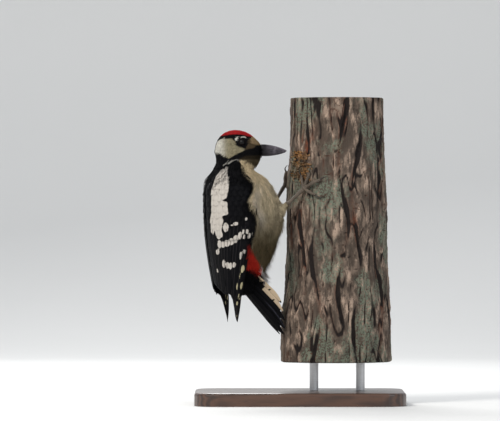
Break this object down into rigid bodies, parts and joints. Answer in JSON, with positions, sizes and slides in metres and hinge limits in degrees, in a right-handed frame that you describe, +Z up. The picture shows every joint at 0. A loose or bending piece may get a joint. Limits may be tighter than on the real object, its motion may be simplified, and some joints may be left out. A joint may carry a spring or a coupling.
{
  "type": "great spotted woodpecker model",
  "caption": "Life-size still model of a young great spotted woodpecker clinging to a cut length of trunk on a flat display stand.",
  "frame": {"origin": "middle of the underside of the display stand's base", "axes": "+Z up along the trunk, +X the way the bird's bill points, -Y towards the bird's right side"},
  "size_m": [0.19, 0.138, 0.277],
  "materials": {
    "black_plumage": "soft sheen",
    "white_plumage": "matte",
    "buff_plumage": "matte",
    "red_plumage": "matte",
    "bill_horn": "satin horn",
    "claw_horn": "satin horn",
    "eye": "wet gloss",
    "leg_scales": "fine scales",
    "bark": "rough bark",
    "stand_wood": "satin",
    "stand_steel": "brushed"
  },
  "bodies": {
    "root": {"belly": "buff_plumage", "bill_lower": "bill_horn", "bill_upper": "bill_horn", "breast": "buff_plumage", "claw_hind_left": "claw_horn", "claw_hind_right": "claw_horn", "claw_inner_left": "claw_horn", "claw_inner_right": "claw_horn", "claw_middle_left": "claw_horn", "claw_middle_right": "claw_horn", "claw_outer_left": "claw_horn", "claw_outer_right": "claw_horn", "coverts_left": "black_plumage", "coverts_right": "black_plumage", "eye_left": "eye", "eye_right": "eye", "foot_left": "leg_scales", "foot_right": "leg_scales", "head": "white_plumage", "neck": "black_plumage", "perch_trunk": "bark", "primaries_left": "black_plumage", "primaries_right": "black_plumage", "rump_and_vent": "red_plumage", "scapulars_left": "white_plumage", "scapulars_right": "white_plumage", "secondaries_left": "black_plumage", "secondaries_right": "black_plumage", "stand_base": "stand_wood", "stand_rod_left": "stand_steel", "stand_rod_right": "stand_steel", "tail_feather_1_left": "black_plumage", "tail_feather_1_right": "black_plumage", "tail_feather_2_left": "black_plumage", "tail_feather_2_right": "black_plumage", "tail_feather_3_left": "black_plumage", "tail_feather_3_right": "black_plumage", "tail_feather_4_left": "white_plumage", "tail_feather_4_right": "white_plumage", "tail_feather_5_left": "white_plumage", "tail_feather_5_right": "white_plumage", "tarsus_left": "leg_scales", "tarsus_right": "leg_scales", "tertials_left": "black_plumage", "tertials_right": "black_plumage", "thigh_left": "buff_plumage", "thigh_right": "buff_plumage"}
  },
  "joints": []
}
